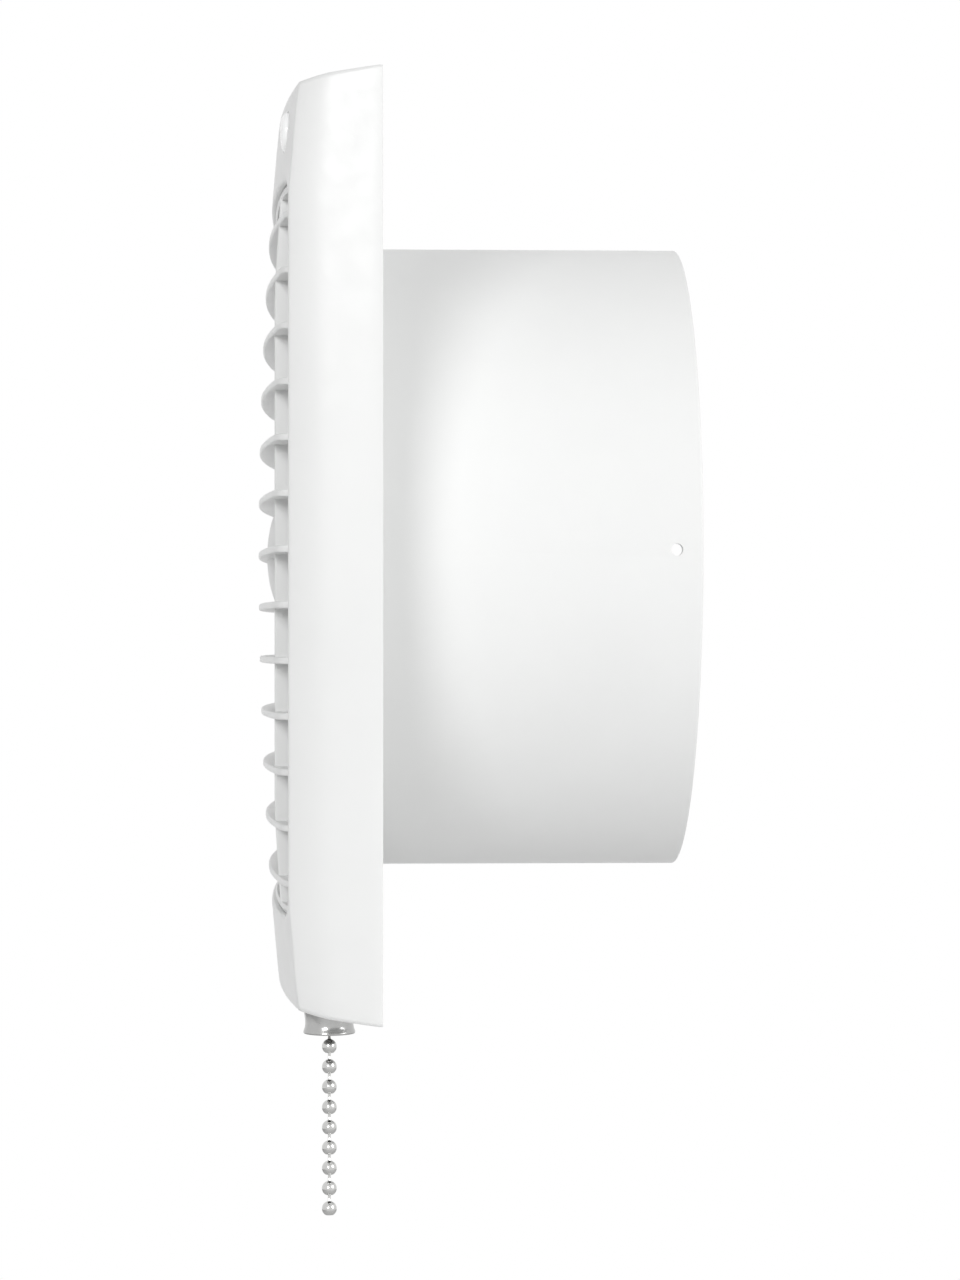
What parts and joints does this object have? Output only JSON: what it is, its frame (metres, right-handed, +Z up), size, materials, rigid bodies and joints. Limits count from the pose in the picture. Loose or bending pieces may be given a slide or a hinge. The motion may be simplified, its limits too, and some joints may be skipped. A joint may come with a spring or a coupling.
{
  "type": "exhaust fan",
  "caption": "Square wall-mounted axial exhaust fan with a domed slatted front, a round duct spigot, an indicator lens and a ball pull chain that works its switch.",
  "frame": {"origin": "centre of the fan's axis on the plane of the wall that it is fixed to", "axes": "+Y along the spigot, away from the room; -Y out of the front; +Z up; +X to the right as seen from the room"},
  "size_m": [0.205, 0.0999, 0.2485],
  "materials": {
    "white_plastic": "smooth moulded, soft gloss",
    "dull_white_plastic": "smooth moulded, satin",
    "grey_plastic": "smooth moulded, satin",
    "clear_plastic": "clear moulded",
    "lamp_glass": "tinted glass",
    "nylon": "natural moulded",
    "black_phenolic": "moulded",
    "steel": "zinc plated",
    "zinc": "die cast",
    "bronze": "sintered",
    "copper_winding": "enamelled wire",
    "aluminium": "die cast",
    "brass": "turned",
    "nickel": "polished nickel plate",
    "brown_insulation": "smooth insulation",
    "blue_insulation": "smooth insulation",
    "black_insulation": "smooth insulation",
    "red_insulation": "smooth insulation",
    "white_insulation": "smooth insulation"
  },
  "bodies": {
    "housing": {"housing": "dull_white_plastic", "spigot": "dull_white_plastic", "motor_mount": "dull_white_plastic", "front_cover": "white_plastic", "slat_grille": "white_plastic", "stator_core": "steel", "coil_bobbin": "nylon", "stator_coil": "copper_winding", "front_bracket": "zinc", "rear_bracket": "zinc", "front_bush": "bronze", "rear_bush": "bronze", "motor_screw_1": "steel", "motor_screw_2": "steel", "motor_nut_1": "brass", "motor_nut_2": "brass", "terminal_block": "nylon", "terminal_screw_1": "brass", "terminal_screw_2": "brass", "terminal_screw_3": "brass", "terminal_screw_4": "brass", "terminal_screw_5": "brass", "terminal_screw_6": "brass", "terminal_screw_7": "brass", "terminal_screw_8": "brass", "cable_clamp": "nylon", "clamp_screw_1": "steel", "clamp_screw_2": "steel", "indicator_lens": "clear_plastic", "indicator_lamp": "lamp_glass", "lamp_holder": "nylon", "switch_body": "black_phenolic", "switch_spring": "steel", "chain_ferrule": "nickel", "motor_lead_live": "brown_insulation", "motor_lead_neutral": "blue_insulation", "switch_lead_live": "black_insulation", "switch_lead_return": "red_insulation", "lamp_lead": "white_insulation", "cover_screw": "steel"},
    "rotor": {"rotor": "aluminium", "motor_shaft": "steel", "impeller": "grey_plastic", "impeller_clip": "steel"},
    "switch_stem": {"switch_stem": "nickel"},
    "bead_1": {"chain_bead_1": "nickel"},
    "bead_2": {"chain_bead_2": "nickel"},
    "bead_3": {"chain_bead_3": "nickel"},
    "bead_4": {"chain_bead_4": "nickel"},
    "bead_5": {"chain_bead_5": "nickel"},
    "bead_6": {"chain_bead_6": "nickel"},
    "bead_7": {"chain_bead_7": "nickel"},
    "bead_8": {"chain_bead_8": "nickel"},
    "bead_9": {"chain_bead_9": "nickel"}
  },
  "joints": [
    {"name": "impeller_spin", "type": "hinge", "parent": "housing", "child": "rotor", "pos_m": [0, 0.0445, 0], "axis": [0, 1, 0], "continuous": true},
    {"name": "switch_pull", "type": "slide", "parent": "housing", "child": "switch_stem", "axis": [0, 0, -1], "range_m": [0, 0.004], "stiffness_N_per_m": 400, "springref_m": -0.003, "deforming": ["switch_spring"]},
    {"name": "bead_swing_1", "type": "hinge", "parent": "switch_stem", "child": "bead_1", "pos_m": [0.08, -0.0112, -0.10496], "axis": [1, 0, 0], "range_deg": [-18, 18]},
    {"name": "bead_swing_2", "type": "hinge", "parent": "bead_1", "child": "bead_2", "pos_m": [0.08, -0.0112, -0.1094], "axis": [0, 1, 0], "range_deg": [-18, 18]},
    {"name": "bead_swing_3", "type": "hinge", "parent": "bead_2", "child": "bead_3", "pos_m": [0.08, -0.0112, -0.11384], "axis": [1, 0, 0], "range_deg": [-18, 18]},
    {"name": "bead_swing_4", "type": "hinge", "parent": "bead_3", "child": "bead_4", "pos_m": [0.08, -0.0112, -0.11828], "axis": [0, 1, 0], "range_deg": [-18, 18]},
    {"name": "bead_swing_5", "type": "hinge", "parent": "bead_4", "child": "bead_5", "pos_m": [0.08, -0.0112, -0.12272], "axis": [1, 0, 0], "range_deg": [-18, 18]},
    {"name": "bead_swing_6", "type": "hinge", "parent": "bead_5", "child": "bead_6", "pos_m": [0.08, -0.0112, -0.12716], "axis": [0, 1, 0], "range_deg": [-18, 18]},
    {"name": "bead_swing_7", "type": "hinge", "parent": "bead_6", "child": "bead_7", "pos_m": [0.08, -0.0112, -0.1316], "axis": [1, 0, 0], "range_deg": [-18, 18]},
    {"name": "bead_swing_8", "type": "hinge", "parent": "bead_7", "child": "bead_8", "pos_m": [0.08, -0.0112, -0.13604], "axis": [0, 1, 0], "range_deg": [-18, 18]},
    {"name": "bead_swing_9", "type": "hinge", "parent": "bead_8", "child": "bead_9", "pos_m": [0.08, -0.0112, -0.14048], "axis": [1, 0, 0], "range_deg": [-18, 18]}
  ]
}
